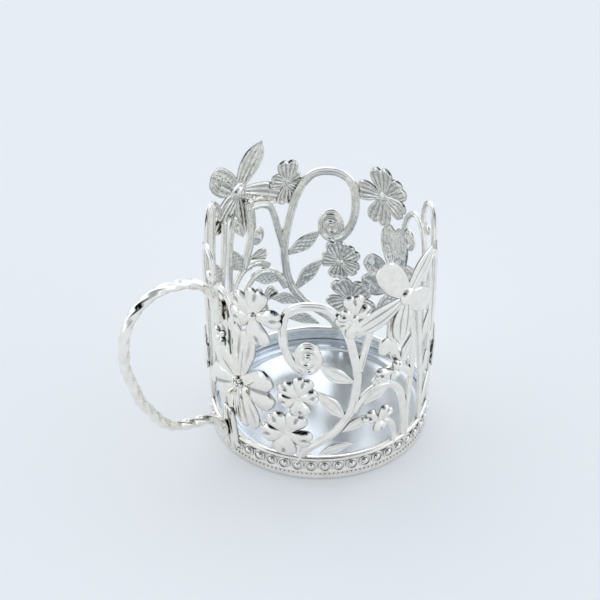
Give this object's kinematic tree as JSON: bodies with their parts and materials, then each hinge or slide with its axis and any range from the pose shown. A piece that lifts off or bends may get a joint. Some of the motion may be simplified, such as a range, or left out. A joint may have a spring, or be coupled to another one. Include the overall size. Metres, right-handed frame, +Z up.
{
  "type": "openwork votive cup holder",
  "caption": "Silver openwork cup holder with a beaded base band, a dished base pan, a wall of flowers and scrolls, and a twisted wire handle.",
  "frame": {"origin": "centre of the base ring, on the surface that the holder stands on", "axes": "+Z up; the handle points along -X"},
  "size_m": [0.1077, 0.0782, 0.0792],
  "materials": {
    "wire_silver": "bright silver plate",
    "flower_silver": "bright silver plate, embossed",
    "band_silver": "bright silver plate",
    "handle_wire": "bright silver plate, twisted square wire",
    "pan_plate": "polished spun sheet"
  },
  "bodies": {
    "root": {"band_beads": "band_silver", "base_band": "band_silver", "base_pan": "pan_plate", "front_band_leaf": "flower_silver", "front_base_blossom": "flower_silver", "front_bud_stem": "wire_silver", "front_crest_leaf": "wire_silver", "front_dogwood": "flower_silver", "front_dogwood_stamen": "flower_silver", "front_hook_stem": "wire_silver", "front_lily": "flower_silver", "front_lily_button": "flower_silver", "front_lily_stems": "wire_silver", "front_lily_tips": "flower_silver", "front_mid_blossom": "flower_silver", "front_primrose": "flower_silver", "front_primrose_button": "flower_silver", "front_rosette": "flower_silver", "front_scroll": "wire_silver", "front_scroll_leaves": "flower_silver", "front_side_blossom": "flower_silver", "front_small_arch": "wire_silver", "front_small_flower": "flower_silver", "front_spray_leaves": "flower_silver", "front_stem_leaf": "flower_silver", "front_tall_arch": "wire_silver", "front_tall_leaf": "flower_silver", "front_tall_loop": "wire_silver", "front_tendril": "wire_silver", "front_trefoil": "flower_silver", "handle": "handle_wire", "rear_band_leaf": "flower_silver", "rear_base_blossom": "flower_silver", "rear_bud_stem": "wire_silver", "rear_crest_leaf": "wire_silver", "rear_dogwood": "flower_silver", "rear_dogwood_stamen": "flower_silver", "rear_hook_stem": "wire_silver", "rear_lily": "flower_silver", "rear_lily_button": "flower_silver", "rear_lily_stems": "wire_silver", "rear_lily_tips": "flower_silver", "rear_mid_blossom": "flower_silver", "rear_primrose": "flower_silver", "rear_primrose_button": "flower_silver", "rear_rosette": "flower_silver", "rear_scroll": "wire_silver", "rear_scroll_leaves": "flower_silver", "rear_side_blossom": "flower_silver", "rear_small_arch": "wire_silver", "rear_small_flower": "flower_silver", "rear_spray_leaves": "flower_silver", "rear_stem_leaf": "flower_silver", "rear_tall_arch": "wire_silver", "rear_tall_leaf": "flower_silver", "rear_tall_loop": "wire_silver", "rear_tendril": "wire_silver", "rear_trefoil": "flower_silver", "seam_plate": "flower_silver"}
  },
  "joints": []
}
